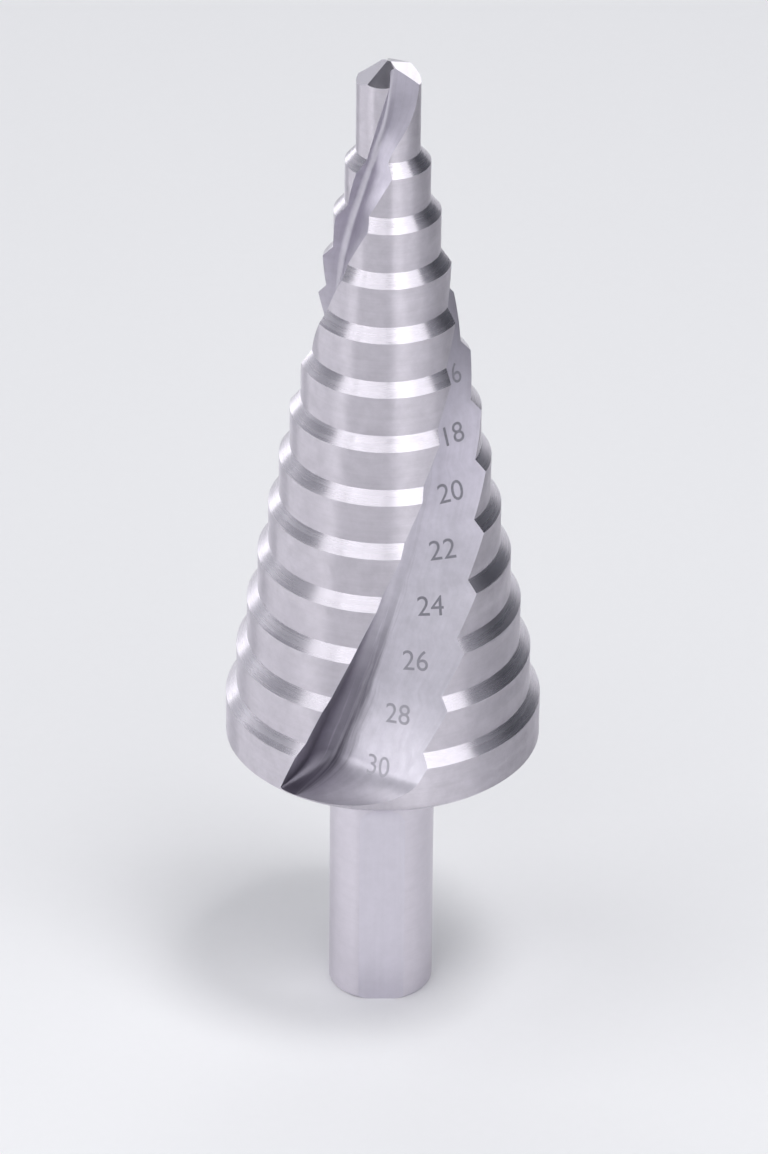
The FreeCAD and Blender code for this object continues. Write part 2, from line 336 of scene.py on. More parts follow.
def facing(turn, rise):
    """Directions given by a turn about the axis and an angle above level."""
    return np.stack(np.broadcast_arrays(
        np.cos(turn) * np.cos(rise), np.sin(turn) * np.cos(rise), np.sin(rise)), -1)


def in_place(turn, x, y, z):
    """Places, or directions, from the section's frame, whose x axis lies along a rake face."""
    cosine, sine = np.cos(turn), np.sin(turn)
    return np.stack([x * cosine - y * sine, x * sine + y * cosine, z], -1)


def flute_marks(s, z):
    """The section's key points at each height, with x along the rake face.

    The root is a quarter circle beside the rake face and the floor. Where the turned outline is
    so small that it meets the root or the floor early, the parts beyond it end on its circle; the
    crossing of the two circles comes from the cosine rule. Above the rim the flute is shut, and
    everything closes to one point of the circle."""
    r, web, root = radius_at(s, z), web_at(s, z), root_at(s, z)
    away, lean = np.hypot(web + root, root), np.arctan2(root, web + root)
    shut = away - root >= r
    reach = np.arccos(np.clip((away ** 2 + root ** 2 - r ** 2) / (2 * away * root), -1, 1))
    first = np.minimum(1.5 * np.pi, np.pi + lean + reach)
    last = np.maximum(np.pi, np.pi + lean - reach)

    def at_root(turn):
        """Place on the root's circle, or where a shut flute is closed."""
        return (np.where(shut, r * np.cos(lean), web + root + root * np.cos(turn)),
                np.where(shut, r * np.sin(lean), root + root * np.sin(turn)))

    start, end = at_root(first), at_root(last)
    whole = (web + root <= r) & ~shut
    lead = np.where(whole, r, start[0]), np.where(whole, 0.0, start[1])
    whole = (np.hypot(web, root) <= r) & ~shut
    width = np.sqrt(np.maximum(r ** 2 - web ** 2, 0))
    heel = np.where(whole, web, end[0]), np.where(whole, width, end[1])
    return first, last, at_root, start, end, lead, heel


def flute_places(s, z):
    """Places and outward directions of a flute's surface, for a height for every row and column.

    The columns run inwards along the rake face, round the root and outwards along the floor. Each
    surface is the place where a function of x, y and the height is zero, and its outward direction
    is that function's slope; as the section turns while it rises, a place's own x and y change with
    the height at the rate of the turn."""
    d = s.detail
    first, last, at_root, start, end, lead, heel = flute_marks(s, z)
    share = np.concatenate([
        np.linspace(0, 1, d.rake + 1)[:-1], np.linspace(0, 1, d.root + 1)[:-1],
        np.linspace(0, 1, d.floor + 1)])
    column = np.arange(len(share))

    def by_part(on_rake, in_root, on_floor):
        """For each column, the value of the part that it lies in."""
        return np.select([column < d.rake, column < d.rake + d.root], [on_rake, in_root], on_floor)

    bent = at_root(first * (1 - share) + last * share)
    x, y = [by_part(lead[i] * (1 - share) + start[i] * share, bent[i],
                    end[i] * (1 - share) + heel[i] * share) for i in (0, 1)]

    def slope(function):
        """How fast a size changes with height."""
        return (function(s, z + NEAR) - function(s, z - NEAR)) / (2 * NEAR)

    twist, web_slope, root_slope = slope(rake_direction), slope(web_at), slope(root_at)
    web, root = web_at(s, z), root_at(s, z)
    along, ahead = (x - web - root) / root, (y - root) / root
    rise = along * (y * twist - web_slope - root_slope) + ahead * (-x * twist - root_slope)
    turned = rake_direction(s, z)
    normal = in_place(turned, by_part(0, -along, 1), by_part(1, -ahead, 0),
                      by_part(-x * twist, root_slope - rise, y * twist - web_slope))
    normal /= np.linalg.norm(normal, axis=-1, keepdims=True)
    return in_place(turned, x, y, z), normal


def land_places(s, z, shares):
    """Places of a land: the turned outline's circle from the heel round to the next rake face."""
    *_, lead, heel = flute_marks(s, z)
    low, high = np.arctan2(heel[1], heel[0]), np.pi + np.arctan2(lead[1], lead[0])
    turn = low + (high - low) * shares
    r = radius_at(s, z)
    return in_place(rake_direction(s, z), r * np.cos(turn), r * np.sin(turn), z)


def point_planes(s, xy):
    """Fall of each of the four facets below the tip, at places given as x and y.

    A lip's facet falls by the lip's slope along the lip and by its relief behind it; a heel's
    facet falls only behind the lip, from the chisel's offset on."""
    p = s.point
    lip, relief = lip_slopes(s)
    heel = math.tan(p.heel_relief)
    along = xy[..., 0] * math.cos(p.direction) + xy[..., 1] * math.sin(p.direction)
    ahead = -xy[..., 0] * math.sin(p.direction) + xy[..., 1] * math.cos(p.direction)
    first = lip * along - relief * ahead
    return np.stack([first, heel * (ahead - p.chisel), -first, heel * (-ahead - p.chisel)], axis=-1)


def facet_normals(s):
    """Outward directions of the four facets, in the same order."""
    steps = np.eye(2) * MM
    at = point_planes(s, np.zeros(2))
    rise = np.stack([(point_planes(s, step) - at) / MM for step in steps] + [np.ones(4)], -1)
    return rise / np.linalg.norm(rise, axis=-1, keepdims=True)


def meet_point(s, columns, places):
    """Heights where each column of a patch meets the facets: the fall at its place, repeated."""
    z = np.full((1, columns), DRILL_HIGH.z - s.cone.smallest / 4)
    for _ in range(MEETING_ROUNDS):
        z = DRILL_HIGH.z - point_planes(s, places(z)[..., :2]).max(axis=-1)
    return z


def land_shares(s):
    """Even divisions of a land, with one moved onto the ridge between its two facets."""
    count, tries = s.detail.land, RIDGE_TRIES
    places = land_places(s, meet_point(s, len(tries), lambda z: land_places(s, z, tries)), tries)
    fall = point_planes(s, places[0, :, :2])
    ridge = tries[np.argmax(fall[:, 1] <= fall[:, 2])]
    nearest = int(round(ridge * count))
    return np.concatenate([
        np.linspace(0, ridge, nearest + 1)[:-1], np.linspace(ridge, 1, count - nearest + 1)])


# Building meshes

def add_object(name, data):
    """A new object of a mesh, curve, lamp or camera, in the scene."""
    thing = bpy.data.objects.new(name, data)
    bpy.context.scene.collection.objects.link(thing)
    return thing


def weld(mesh):
    """Joins the points of a mesh that lie together, and drops the faces that this leaves empty."""
    work = bmesh.new()
    work.from_mesh(mesh)
    bmesh.ops.remove_doubles(work, verts=work.verts, dist=NEAR)
    bmesh.ops.dissolve_degenerate(work, dist=NEAR, edges=work.edges)
    work.to_mesh(mesh)
    work.free()


def corners(values):
    """Values at the four corners of each face of a grid, going round the face."""
    return np.stack([values[:-1, :-1], values[:-1, 1:], values[1:, 1:], values[1:, :-1]], 2)


class Patches:
    """Grids of faces gathered for one mesh, each with its outward directions, material and
    surface coordinates."""

    def __init__(self):
        self.points, self.faces, self.uvs, self.normals, self.slots = [], [], [], [], []
        self.count = 0

    def grid(self, places, normals, uv, slots):
        """Faces between neighbouring rows and columns. Each face's corners have directions."""
        rows, columns = places.shape[:2]
        index = self.count + np.arange(rows * columns).reshape(rows, columns)
        self.points.append(places.reshape(-1, 3))
        self.faces += corners(index).reshape(-1, 4).tolist()
        self.uvs.append(corners(uv).reshape(-1, 2))
        self.normals.append(np.broadcast_to(normals, (rows - 1, columns - 1, 4, 3)).reshape(-1, 3))
        self.slots += np.broadcast_to(slots, (rows - 1, columns - 1)).ravel().tolist()
        self.count += rows * columns

    def polygon(self, places, normal, slot):
        """One flat face through places in order."""
        self.triangles(places, np.arange(len(places))[None, :], normal, slot)

    def triangles(self, places, index, normal, slot):
        """Flat faces given by the indices of their corners."""
        self.points.append(places)
        self.faces += (index + self.count).tolist()
        self.uvs.append(places[index.ravel()][:, :2])
        self.normals.append(np.broadcast_to(normal, (index.size, 3)))
        self.slots += [slot] * len(index)
        self.count += len(places)

    def to_object(self, name, materials):
        """The gathered faces as one object: shared points are joined, and each face's corners keep
        the exact direction of the surface, so that edges stay crisp and curves smooth."""
        mesh = bpy.data.meshes.new(name)
        mesh.from_pydata(np.concatenate(self.points), [], self.faces)
        layer = mesh.uv_layers.new(name="surface")
        layer.data.foreach_set("uv", np.concatenate(self.uvs).astype(np.float32).ravel())
        exact = mesh.attributes.new("exact", "FLOAT_VECTOR", "CORNER")
        exact.data.foreach_set("vector", np.concatenate(self.normals).astype(np.float32).ravel())
        for material in materials:
            mesh.materials.append(material)
        mesh.polygons.foreach_set("material_index", np.array(self.slots, np.int32))
        weld(mesh)
        mesh.shade_smooth()
        normals = np.empty(len(mesh.loops) * 3, np.float32)
        mesh.attributes["exact"].data.foreach_get("vector", normals)
        mesh.normals_split_custom_set(normals.reshape(-1, 3))
        mesh.attributes.remove(mesh.attributes["exact"])
        return add_object(name, mesh)


def spaced(stops, largest):
    """Heights from stop to stop, none further apart than the largest spacing."""
    pieces = []
    for low, high in zip(stops[:-1], stops[1:]):
        count = max(1, math.ceil((high - low) / largest - SLACK))
        pieces.append(np.linspace(low, high, count + 1)[:-1])
    return np.concatenate(pieces + [np.array([stops[-1]])])


def cone_rows(s, top):
    """Heights of the rows: every edge of the outline, and close rows where the flute opens."""
    heights, _ = cone_profile(s)
    f = s.flute
    arc = np.sin(np.linspace(0, np.pi / 2, RUNOUT_LEVELS))
    ramp = s.shank.height + f.runout_start + f.runout * (1 - arc)[::-1]
    opening = ramp[0] + (ramp[1] - ramp[0]) * np.linspace(0, 1, OPENING_LEVELS) ** 2
    stops = np.concatenate([
        heights[heights < top], ramp, opening, [pilot_foot(s) + f.web_blend, top]])
    return spaced(np.unique(np.round(stops, DECIMALS)), s.detail.row)


def rows_to_point(finish, top, rows):
    """Heights for every row and column: level rows first, then those that ease to the facets."""
    level = np.broadcast_to(rows[:, None], (len(rows), finish.shape[1]))
    lift = np.linspace(0, 1, EASING_LEVELS + 1)[1:, None]
    return np.concatenate([level, top + (finish - top) * lift])


def cone_surface(s, patches, slots):
    """The fluted cone: for each half, one grid for the flute and one for the land behind it.

    A land faces outwards along the outline's slope, which is level on a step and the same all the
    way down a bevel. Returns the loops at the cone's foot and at the facets, and the place of the
    root's painted shade on the flute: across it from and to, the heights over which it fades, and
    the height from which the floor has painted shade."""
    d = s.detail
    shares = land_shares(s)
    flute_columns = d.rake + d.root + d.floor + 1
    flute_top = meet_point(s, flute_columns, lambda z: flute_places(s, z)[0])
    land_top = meet_point(s, len(shares), lambda z: land_places(s, z, shares))
    top = min(flute_top.min(), land_top.min()) - d.row
    rows = cone_rows(s, top)

    z = rows_to_point(flute_top, top, rows)
    flute, flute_normals = flute_places(s, z)
    widths = np.linalg.norm(np.diff(flute, axis=1), axis=2).mean(axis=0)
    across = np.concatenate([[0], np.cumsum(widths)])
    flute_uv = np.stack([np.broadcast_to(across, z.shape), z], -1)

    z = rows_to_point(land_top, top, rows)
    land = land_places(s, z, shares)
    heights, radii = cone_profile(s)
    middle = (z[:-1, 0] + z[1:, 0]) / 2
    piece = np.clip(np.searchsorted(heights, middle) - 1, 0, len(heights) - 2)
    fall = np.arctan2(radii[piece] - radii[piece + 1], heights[piece + 1] - heights[piece])
    land_normals = facing(corners(np.arctan2(land[..., 1], land[..., 0])), fall[:, None, None])
    land_uv = np.stack([shares * s.cone.smallest + 0 * z, z], -1)
    land_slots = np.where(np.abs(fall[:, None]) > SLACK, slots["bevel"], slots["step"])

    rims, tops = [], []
    for side in (1, -1):
        both = np.array([side, side, 1])
        patches.grid(flute * both, corners(flute_normals) * both, flute_uv, slots["flute"])
        patches.grid(land * both, land_normals * both, land_uv, land_slots)
        rims += [flute[0, :-1] * both, land[0, :-1] * both]
        tops += [flute[-1, :-1] * both, land[-1, :-1] * both]
    return np.concatenate(rims), np.concatenate(tops), (
        across[d.rake], across[d.rake + d.root],
        *[s.shank.height + height for height in (s.flute.streaked, s.flute.clean, s.flute.dull)])


def point_surface(s, patches, outline, slot):
    """The four flat facets, each between a run of the outline and the chisel edge. A heel's facet,
    which has an odd number, also takes the last point of the lip's facet on each side of it."""
    p = s.point
    facet = np.argmax(point_planes(s, outline[:, :2]), axis=1)
    lip, relief = lip_slopes(s)
    ahead, along = p.chisel, p.chisel * relief / lip
    end = in_place(p.direction, along, ahead, DRILL_HIGH.z)
    other = end * (-1, -1, 1)
    inner = {0: [end, other], 1: [end], 2: [other, end], 3: [other]}
    normals = facet_normals(s)
    starts = np.flatnonzero(facet != np.roll(facet, 1))
    for start, stop in zip(starts, np.append(starts[1:], starts[0] + len(outline))):
        number = int(facet[start])
        more = number % 2
        run = np.arange(start - more, stop + more) % len(outline)
        patches.polygon(np.concatenate([outline[run], inner[number]]), normals[number], slot)


def shank_surface(s, patches, slots):
    """The shank as one grid from its end to the cone, a part for each flat and each round.

    Its radius is a quarter circle at the end and then constant; a flat cuts it at its distance
    from the axis over the cosine of the angle from the flat's middle, and that distance grows on
    an arc where the flat runs out."""
    h, d = s.shank, s.detail
    radius = h.diameter / 2
    flat = radius - h.flat_depth
    full = h.flat_length + math.sqrt(h.flat_runout ** 2 - (h.flat_runout - h.flat_depth) ** 2)
    quarter = np.pi / 2
    rows = np.concatenate([
        h.rounding * (1 - np.cos(np.linspace(0, quarter, END_LEVELS))),
        np.linspace(h.rounding, h.flat_length, FLAT_LEVELS)[1:],
        h.flat_length + (full - h.flat_length) * np.sin(
            np.linspace(0, quarter, FLAT_RUNOUT_LEVELS))[1:],
        np.linspace(full, h.height, NECK_LEVELS)[1:]])[:, None]
    low = np.clip(1 - rows / h.rounding, 0, 1)
    outer = radius - h.rounding + h.rounding * np.sqrt(1 - low ** 2)
    over = np.clip(rows - h.flat_length, 0, full - h.flat_length)
    distance = flat + h.flat_runout - np.sqrt(h.flat_runout ** 2 - over ** 2)
    edge = np.where(rows < full - NEAR, np.arccos(np.clip(distance / outer, -1, 1)), 0)
    third = 2 * np.pi / h.flats
    shares = np.linspace(0, 1, d.arc // 3 + 1)
    rounds = np.linspace(0, 1, d.arc - d.arc // 3 + 1)
    ends, rims = [], []
    for number in range(h.flats):
        middle = s.point.direction + number * third
        for name, on, offset in (("flat", True, -edge + 2 * edge * shares),
                                 ("shank", False, edge + (third - 2 * edge) * rounds)):
            r = distance / np.cos(offset) if on else outer + 0 * offset
            turn = middle + offset
            z = rows + 0 * offset
            places = np.stack([r * np.cos(turn), r * np.sin(turn), z], -1)
            tilt = np.arcsin(over / h.flat_runout if on else low)
            normals = facing((middle if on else turn) + 0 * offset, -tilt)
            patches.grid(places, corners(normals), np.stack([turn * radius, z], -1), slots[name])
            ends.append(places[0, :-1])
            rims.append(places[-1, :-1])
    patches.polygon(np.concatenate(ends)[::-1], (0, 0, -1), slots["shank"])
    return np.concatenate(rims)


def ring_between(patches, inner, outer, slot):
    """The flat ring that faces down between two loops: each edge of one is joined to the nearest
    point before it on the other, by angle."""
    def ordered(loop):
        """The loop's points and turns in the order of the turns, each once."""
        turn = np.round(np.arctan2(loop[:, 1], loop[:, 0]) % (2 * np.pi), DECIMALS)
        turn, first = np.unique(turn, return_index=True)
        return loop[first], turn

    inner, inner_turn = ordered(inner)
    outer, outer_turn = ordered(outer)
    n, m = len(inner), len(outer)
    is_inner = np.argsort(np.concatenate([inner_turn, outer_turn]), kind="stable") < n
    seen_inner, seen_outer = np.cumsum(is_inner), np.cumsum(~is_inner)
    last_inner, last_outer = (seen_inner - 1) % n, n + (seen_outer - 1) % m
    before_inner, before_outer = (seen_inner - 2) % n, n + (seen_outer - 2) % m
    index = np.where(
        is_inner[:, None],
        np.stack([before_inner, last_inner, last_outer], -1),
        np.stack([last_outer, before_outer, last_inner], -1))
    patches.triangles(np.concatenate([inner, outer]), index, (0, 0, -1), slot)


# Materials

# Sockets of a mix node for colours, which come after its sockets for numbers and vectors
FACTOR, LOW, HIGH, MIXED = 0, 6, 7, 2


def add_node(tree, kind, inputs=None, **values):
    """Adds a node, sets its values, and links or sets its inputs, which are named or numbered."""
    node = tree.nodes.new(kind)
    for name, value in values.items():
        setattr(node, name, value)
    for name, value in (inputs or {}).items():
        if isinstance(value, bpy.types.NodeSocket):
            tree.links.new(value, node.inputs[name])
        else:
            node.inputs[name].default_value = value
    return node


def new_material(name):
    """An empty node material with its tree and a node that gives places on the piece."""
    material = bpy.data.materials.new(name)
    material.use_nodes = True
    material.node_tree.nodes.clear()
    return material, material.node_tree, add_node(material.node_tree, "ShaderNodeTexCoord")


def tinted(tint, shade=1.0):
    """A colour with alpha, made darker or lighter."""
    return (*[min(1, part * shade) for part in tint], 1)


def root_streaks(tree, place, grain, root):
    """Painted shade: the colour that darkens a flute's hollow root, standing in for the shade and
    dark reflections there, and a little the upper part of its floor, standing in for dimmer
    reflections.

    The darkening lies along the root and ends 1.5 to 2.3 of its widths from where it begins, ragged
    by the grain. It fades upwards from near the cone's foot."""
    begin, end, low, high, dull = root
    width = end - begin
    surface = add_node(tree, "ShaderNodeSeparateXYZ", {"Vector": place.outputs["UV"]})
    ragged = add_node(tree, "ShaderNodeMath", {0: grain, 1: 1.6 * width, 2: surface.outputs["X"]},
                      operation="MULTIPLY_ADD")
    beyond = add_node(tree, "ShaderNodeMapRange", {
        "Value": ragged.outputs["Value"],
        "From Min": begin + 1.5 * width, "From Max": begin + 2.3 * width},
        interpolation_type="SMOOTHSTEP")
    above = add_node(tree, "ShaderNodeMapRange", {
        "Value": surface.outputs["Y"], "From Min": low, "From Max": high, "To Max": 0.85})
    clean = add_node(tree, "ShaderNodeMath", {
        0: beyond.outputs["Result"], 1: above.outputs["Result"]}, operation="MAXIMUM")
    # Painted shade: the floor turns darker from the root's unshaded height up towards the point
    upper = add_node(tree, "ShaderNodeMapRange", {
        "Value": surface.outputs["Y"], "From Min": high, "From Max": dull,
        "To Max": beyond.outputs["Result"]})
    floor_shade = add_node(tree, "ShaderNodeMix", {
        FACTOR: upper.outputs["Result"], LOW: (1, 1, 1, 1), HIGH: tinted(linear("#E6E5E9"))},
        data_type="RGBA")
    # Painted shade along the root, darkest near the cone's foot
    shaded_root = add_node(tree, "ShaderNodeMix", {
        FACTOR: clean.outputs["Value"], LOW: tinted(linear("#A09EA4")), HIGH: floor_shade.outputs[MIXED]},
        data_type="RGBA")
    return shaded_root.outputs[MIXED]


def ground_steel(name, tint, roughness, spread, lines, depth, coordinate="Object", shade=0.93,
                 root=None):
    """High-speed steel ground with a fine wheel: a bright, slightly cool metal whose grinding lines
    blur what it mirrors across them and hardly at all along them.

    lines gives how many lines fit in a metre along each axis of the coordinate. The real ones are
    some hundredths of a millimetre apart, too fine to show, so they are drawn up to ten times as
    coarse. The clouds of wear between them are about 1.4 mm across. spread is how far a reflection
    is drawn out, depth how deep the lines are, shade how much darker the metal is in the deepest
    ones, and root places a flute's painted shade in its root and on its floor's upper part."""
    material, tree, place = new_material(name)
    scaled = add_node(tree, "ShaderNodeMapping", {
        "Vector": place.outputs[coordinate], "Scale": lines})
    grain = add_node(tree, "ShaderNodeTexNoise", {
        "Vector": scaled.outputs["Vector"], "Scale": 1.0, "Detail": 4.0, "Roughness": 0.65,
        }).outputs["Fac"]
    cloud = add_node(tree, "ShaderNodeTexNoise", {
        "Vector": place.outputs["Object"], "Scale": 700.0, "Detail": 5.0, "Roughness": 0.65,
        }).outputs["Fac"]
    both = add_node(tree, "ShaderNodeMath", {0: grain, 1: 0.7, 2: cloud}, operation="MULTIPLY_ADD")
    wear = add_node(tree, "ShaderNodeMapRange", {
        "Value": both.outputs["Value"], "From Min": 0.62, "From Max": 1.08})
    tone = add_node(tree, "ShaderNodeMix", {
        FACTOR: wear.outputs["Result"], LOW: tinted(tint, shade), HIGH: tinted(tint)},
        data_type="RGBA")
    # Painted shade in the root and on the floor's upper part, multiplied into the colour
    if root:
        root_shade = root_streaks(tree, place, grain, root)
        tone = add_node(tree, "ShaderNodeMix", {
            FACTOR: 1.0, LOW: tone.outputs[MIXED], HIGH: root_shade},
            data_type="RGBA", blend_type="MULTIPLY")
    gloss = add_node(tree, "ShaderNodeMapRange", {
        "Value": grain, "From Min": 0.3, "From Max": 0.7,
        "To Min": roughness * 0.85, "To Max": roughness * 1.15})
    bump = add_node(tree, "ShaderNodeBump", {"Height": grain, "Strength": 0.4, "Distance": depth})
    steel = add_node(tree, "ShaderNodeBsdfPrincipled", {
        "Base Color": tone.outputs[MIXED], "Metallic": 1.0, "Roughness": gloss.outputs["Result"],
        "Anisotropic": spread, "Anisotropic Rotation": 0.25, "Normal": bump.outputs["Normal"]})
    add_node(tree, "ShaderNodeOutputMaterial", {"Surface": steel.outputs["BSDF"]})
    return material


def laser_mark(s):
    """Laser-marked steel: a thin dark oxide, matt, with the metal showing through in specks of
    about 0.2 mm, and lightened near the foot of the cone by a painted highlight."""
    material, tree, place = new_material("laser_marked_steel")
    specks = add_node(tree, "ShaderNodeTexNoise", {
        "Vector": place.outputs["Object"], "Scale": 4500.0, "Detail": 2.0})
    tone = add_node(tree, "ShaderNodeMix", {
        FACTOR: specks.outputs["Fac"], LOW: tinted(s.colours.mark, 0.6),
        HIGH: tinted(s.colours.mark, 2.0)}, data_type="RGBA")
    surface = add_node(tree, "ShaderNodeSeparateXYZ", {"Vector": place.outputs["Object"]})
    # Painted highlight: near the cone's foot the marks are mixed towards the flute's colour
    highlight_share = add_node(tree, "ShaderNodeMapRange", {
        "Value": surface.outputs["Z"], "From Min": s.shank.height,
        "From Max": s.shank.height + s.marks.faint, "To Min": 0.62, "To Max": 0.15})
    tone = add_node(tree, "ShaderNodeMix", {
        FACTOR: highlight_share.outputs["Result"], LOW: tone.outputs[MIXED], HIGH: tinted(s.colours.flute)},
        data_type="RGBA")
    oxide = add_node(tree, "ShaderNodeBsdfPrincipled", {
        "Base Color": tone.outputs[MIXED], "Metallic": 0.25, "Roughness": 0.6})
    add_node(tree, "ShaderNodeOutputMaterial", {"Surface": oxide.outputs["BSDF"]})
    return material


def floor_card(s):
    """Matt pale card: almost white, with no gloss and a faint fleck of about a millimetre."""
    material, tree, place = new_material("matt_floor_card")
    fibre = add_node(tree, "ShaderNodeTexNoise", {
        "Vector": place.outputs["Object"], "Scale": 900.0, "Detail": 3.0})
    tone = add_node(tree, "ShaderNodeMix", {
        FACTOR: fibre.outputs["Fac"], LOW: tinted(s.colours.floor, 0.985),
        HIGH: tinted(s.colours.floor)}, data_type="RGBA")
    card = add_node(tree, "ShaderNodeBsdfPrincipled", {
        "Base Color": tone.outputs[MIXED], "Roughness": 0.9, "Specular IOR Level": 0.1})
    add_node(tree, "ShaderNodeOutputMaterial", {"Surface": card.outputs["BSDF"]})
    return material


# Operators

class STEPDRILL_OT_ground_body(bpy.types.Operator):
    """Make the drill's ground surfaces: shank, stepped cone, flutes and point"""
    bl_idname = "stepdrill.ground_body"
    bl_label = "Ground Body"

    def execute(self, context):
        s = settings()
        steel, flute = s.colours.steel, s.colours.flute
        slots = {"step": 0, "bevel": 1, "flute": 2, "point": 3, "shank": 4, "flat": 5}
        patches = Patches()
        rim, outline, root = cone_surface(s, patches, slots)
        point_surface(s, patches, outline, slots["point"])
        neck = shank_surface(s, patches, slots)
        ring_between(patches, neck, rim, slots["step"])
        materials = [
            # Ground while turning: lines round the axis draw every reflection out up and down
            ground_steel("cylindrically_ground_steel", steel, roughness=0.42, spread=1.0,
                         lines=(40, 40, 1600), depth=1e-5, shade=0.84),
            # The same with a finer wheel: bright, with soft-ended black and white stretches
            ground_steel("ground_steel_shoulders", steel, roughness=0.27, spread=0.7,
                         lines=(60, 60, 2600), depth=2.2e-6, shade=0.9),
            # Ground along the flute: an even satin grey, with painted shade in the root and on the
            # upper floor
            ground_steel("ground_steel_flutes", flute, roughness=0.42, spread=0.65,
                         lines=(2600, 70, 1), depth=6e-6, coordinate="UV", shade=0.84, root=root),
            # Ground flat in one pass: each facet is wholly light or wholly dark
            ground_steel("ground_steel_point", steel, roughness=0.22, spread=0.0,
                         lines=(2600, 300, 300), depth=2e-6),
            # Centreless ground: an even shine with fine lines round it
            ground_steel("ground_steel_shank", steel, roughness=0.36, spread=0.85,
                         lines=(60, 60, 3000), depth=4e-6),
            # Ground along the shank: flat satin faces
            ground_steel("ground_steel_driving_flats", flute, roughness=0.34, spread=0.2,
                         lines=(1600, 1600, 60), depth=3e-6),
        ]
        body = patches.to_object("ground_body", materials)
        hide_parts("step_drill")
        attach(body, "root")
        return {"FINISHED"}


class STEPDRILL_OT_size_marks(bpy.types.Operator):
    """Mark each step's diameter on the floor of the second flute"""
    bl_idname = "stepdrill.size_marks"
    bl_label = "Size Marks"

    def execute(self, context):
        s = settings()
        made = []
        for step in range(s.cone.steps):
            height = shoulder_height(s, step) - s.marks.drop
            if step == s.cone.steps - 1:
                height = pilot_foot(s) + PILOT_NUMERAL * s.cone.pitch
            made.append(self.numeral(context, s, step_radius(s, step), height))
        context.view_layer.objects.active = made[0]
        with context.temp_override(active_object=made[0], selected_editable_objects=made):
            bpy.ops.object.join()
        marks = made[0]
        marks.name = "size_marks"
        marks.data.materials.clear()
        marks.data.materials.append(laser_mark(s))
        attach(marks, "root")
        return {"FINISHED"}

    def numeral(self, context, s, radius, height):
        """The numeral of a step's diameter, laid on the flute's floor.

        The floor is cut by upright planes that face the numeral: a place's height gives the turn of
        the section, and the plane then gives how far across that section the place lies."""
        k = s.marks
        curve = bpy.data.curves.new("numeral", "FONT")
        curve.body = str(round(2 * radius / MM))
        curve.align_x = curve.align_y = "CENTER"
        curve.size = k.height / NUMERAL_SHARE
        curve.extrude = k.thickness / 2
        curve.resolution_u = 4
        writing = add_object("numeral", curve)
        context.view_layer.update()
        shown = writing.evaluated_get(context.evaluated_depsgraph_get())
        mesh = bpy.data.meshes.new_from_object(shown)
        bpy.data.objects.remove(writing)
        flat = np.empty((len(mesh.vertices), 3))
        mesh.vertices.foreach_get("co", flat.ravel())
        flat -= (flat.min(axis=0) + flat.max(axis=0)) / 2
        side, up, out = in_place(k.lean, *flat.T).T
        z = height + up
        web = web_at(s, z)
        centre = k.share * math.sqrt(radius ** 2 - float(web_at(s, height)) ** 2)
        rake = rake_direction(s, z)
        turned = rake - rake_direction(s, height)
        across = (centre + side - web * np.sin(turned)) / np.cos(turned)
        placed = in_place(rake + math.pi, web + out, across, z)
        mesh.vertices.foreach_set("co", placed.astype(np.float32).ravel())
        weld(mesh)
        mesh.shade_flat()
        return add_object("numeral", mesh)


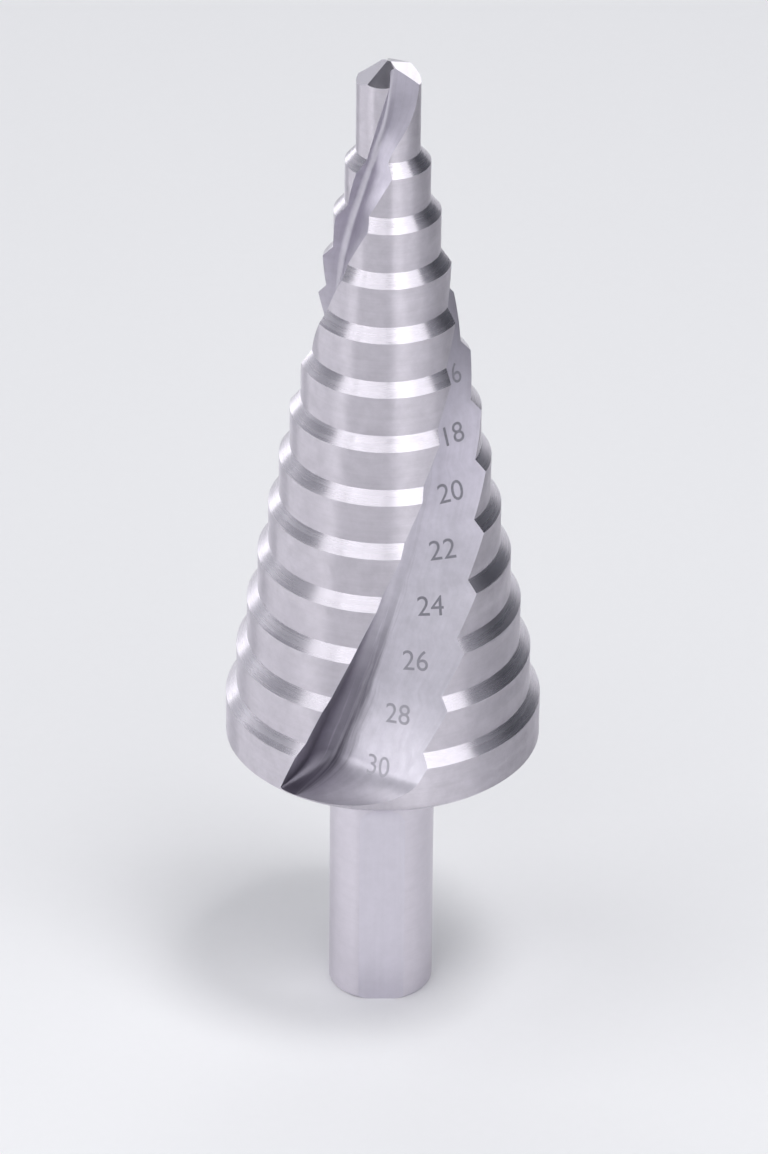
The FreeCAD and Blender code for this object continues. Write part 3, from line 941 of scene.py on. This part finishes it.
class STEPDRILL_OT_stage(bpy.types.Operator):
    """Lay the pale floor and set the lamps and the camera"""
    bl_idname = "stepdrill.stage"
    bl_label = "Stage"

    def execute(self, context):
        s = settings()
        self.floor(s)
        self.lamps()
        self.camera(s)
        self.room(context.scene)
        context.scene.view_settings.view_transform = "Standard"
        return {"FINISHED"}

    def floor(self, s):
        """A round floor: rings of points whose radius doubles outwards from the middle."""
        radii = s.stage.floor_radius * 0.5 ** np.arange(FLOOR_RINGS)[::-1]
        turn = np.linspace(0, 2 * np.pi, FLOOR_SIDES + 1)[:-1]
        rings = (radii[:, None, None] * facing(turn, 0)).reshape(-1, 3)
        index = 1 + np.arange(len(rings)).reshape(FLOOR_RINGS, FLOOR_SIDES)
        index = np.concatenate([index, index[:, :1]], axis=1)
        middle = np.stack([0 * index[0, 1:], index[0, :-1], index[0, 1:]], -1)
        mesh = bpy.data.meshes.new("floor")
        mesh.from_pydata(
            np.concatenate([np.zeros((1, 3)), rings]), [],
            middle.tolist() + corners(index)[..., ::-1].reshape(-1, 4).tolist())
        mesh.materials.append(floor_card(s))
        floor = add_object("floor", mesh)

    def room(self, scene):
        """A pale studio wall all round, darker towards the ceiling and in the corner behind on the
        right: its tone follows the height of a direction and how far it points into that corner."""
        world = bpy.data.worlds.new("studio")
        scene.world = world
        world.use_nodes = True
        tree = world.node_tree
        direction = add_node(tree, "ShaderNodeTexCoord").outputs["Generated"]
        height = add_node(tree, "ShaderNodeSeparateXYZ", {"Vector": direction}).outputs["Z"]
        into = add_node(tree, "ShaderNodeVectorMath", {0: direction, 1: CORNER},
                        operation="DOT_PRODUCT").outputs["Value"]
        wall = tinted(linear("#DDDFE3"))
        for value, low, high, code, blend in (
                (height, 0.1, 0.42, "#8E9096", "MIX"),        # the upper wall
                (height, 0.6, 0.95, "#4E5056", "MIX"),        # the ceiling
                (into, 0.42, 0.8, "#76787C", "MULTIPLY")):    # the corner
            share = add_node(
                tree, "ShaderNodeMapRange", {"Value": value, "From Min": low, "From Max": high},
                interpolation_type="SMOOTHSTEP").outputs["Result"]
            wall = add_node(
                tree, "ShaderNodeMix", {FACTOR: share, LOW: wall, HIGH: tinted(linear(code))},
                data_type="RGBA", blend_type=blend).outputs[MIXED]
        tree.links.new(wall, tree.nodes["Background"].inputs["Color"])

    def lamps(self):
        """Soft boxes round the drill, each placed for what the steel mirrors.

        Each row gives degrees to the right of the front and above level, width and height in
        metres, and radiance."""
        for name, *numbers in (
                ("key", 50, 75, 0.22, 0.24, 14.0),             # the shadow on the floor
                ("front_left", -22, 42, 0.48, 0.42, 1.38),     # white bevels left of the seam
                ("left_front", -59, 38, 0.28, 0.44, 0.9),      # where the bevels begin to fade
                ("front_right", 40, 36, 0.78, 0.56, 1.25),     # white bevels right of the seam
                ("right_behind", 153, 14, 0.22, 0.24, 1.5),    # the heel facet of the point
                ("behind", 185, 44, 0.8, 0.40, 1.0),           # the drill seen from behind
                ("left_behind", -145, 3, 0.30, 0.16, 1.5),     # the left edges of the steps
                ("far_left", -99, 3, 0.52, 0.18, 2.3),         # the bright left of the steps
                ("left", -66, 7, 0.42, 0.24, 1.9),             # their brightest band
                ("overhead", -82, 62, 0.36, 0.28, 2.5)):       # the flute's run-out
            self.lamp(name, *numbers)

    def lamp(self, name, round_axis, elevation, width, height, radiance):
        """A white rectangular soft box that faces the drill's middle. Its power is pi times its
        area times its radiance."""
        data = bpy.data.lights.new(name, "AREA")
        data.shape = "RECTANGLE"
        data.size, data.size_y = width, height
        data.energy = radiance * math.pi * width * height
        lamp = add_object(name, data)
        turn, rise = math.radians(round_axis - 90), math.radians(elevation)
        away = Vector(facing(turn, rise))
        lamp.location = Vector((0, 0, DRILL_HIGH.z / 2)) + LAMP_DISTANCE * away
        lamp.rotation_euler = away.to_track_quat("Z", "Y").to_euler()
        lamp.visible_camera = False

    def camera(self, s):
        """The photograph's viewpoint, with the drill filling the frame."""
        g = s.stage
        data = bpy.data.cameras.new("camera")
        data.sensor_width = FRAME_WIDTH
        data.lens = g.focal
        data.clip_start = CLIP_START
        camera = add_object("camera", data)
        place = Vector((
            -g.aside,
            -g.distance * math.cos(g.elevation),
            s.shank.height + g.distance * math.sin(g.elevation)))
        look = (Vector((0, 0, g.aim)) - place).to_track_quat("-Z", "Y")
        camera.matrix_world = (
            Matrix.Translation(place) @ look.to_matrix().to_4x4() @ Matrix.Rotation(g.roll, 4, "Z"))
        bpy.context.scene.camera = camera


class STEPDRILL_PT_panel(bpy.types.Panel):
    """Buttons and sizes in the sidebar"""
    bl_idname = "STEPDRILL_PT_panel"
    bl_label = "Step Drill Bit"
    bl_space_type = "VIEW_3D"
    bl_region_type = "UI"
    bl_category = "Step Drill"

    def draw(self, context):
        s = settings()
        for operator in (STEPDRILL_OT_ground_body, STEPDRILL_OT_size_marks, STEPDRILL_OT_stage):
            self.layout.operator(operator.bl_idname)
        for group in StepDrillSettings.__annotations__:
            box = self.layout.box()
            box.label(text=group.capitalize())
            sizes = getattr(s, group)
            for name in sizes.__annotations__:
                box.prop(sizes, name)


CLASSES = (
    ShankSizes, ConeSizes, FluteSizes, PointSizes, MarkSizes, FinishColours, MeshDetail, StageSizes,
    StepDrillSettings, STEPDRILL_OT_ground_body, STEPDRILL_OT_size_marks, STEPDRILL_OT_stage,
    STEPDRILL_PT_panel,
)


def register():
    """Registers the classes and hangs the settings on the scene."""
    for each in CLASSES:
        bpy.utils.register_class(each)
    bpy.types.Scene.step_drill = PointerProperty(type=StepDrillSettings)


def unregister():
    """Takes the settings and the classes away again."""
    del bpy.types.Scene.step_drill
    for each in reversed(CLASSES):
        bpy.utils.unregister_class(each)


def main():
    """Builds the pieces and the stage."""
    register()
    bpy.ops.stepdrill.stage()
    bpy.ops.stepdrill.ground_body()
    bpy.ops.stepdrill.size_marks()


if __name__ == "__main__":
    main()
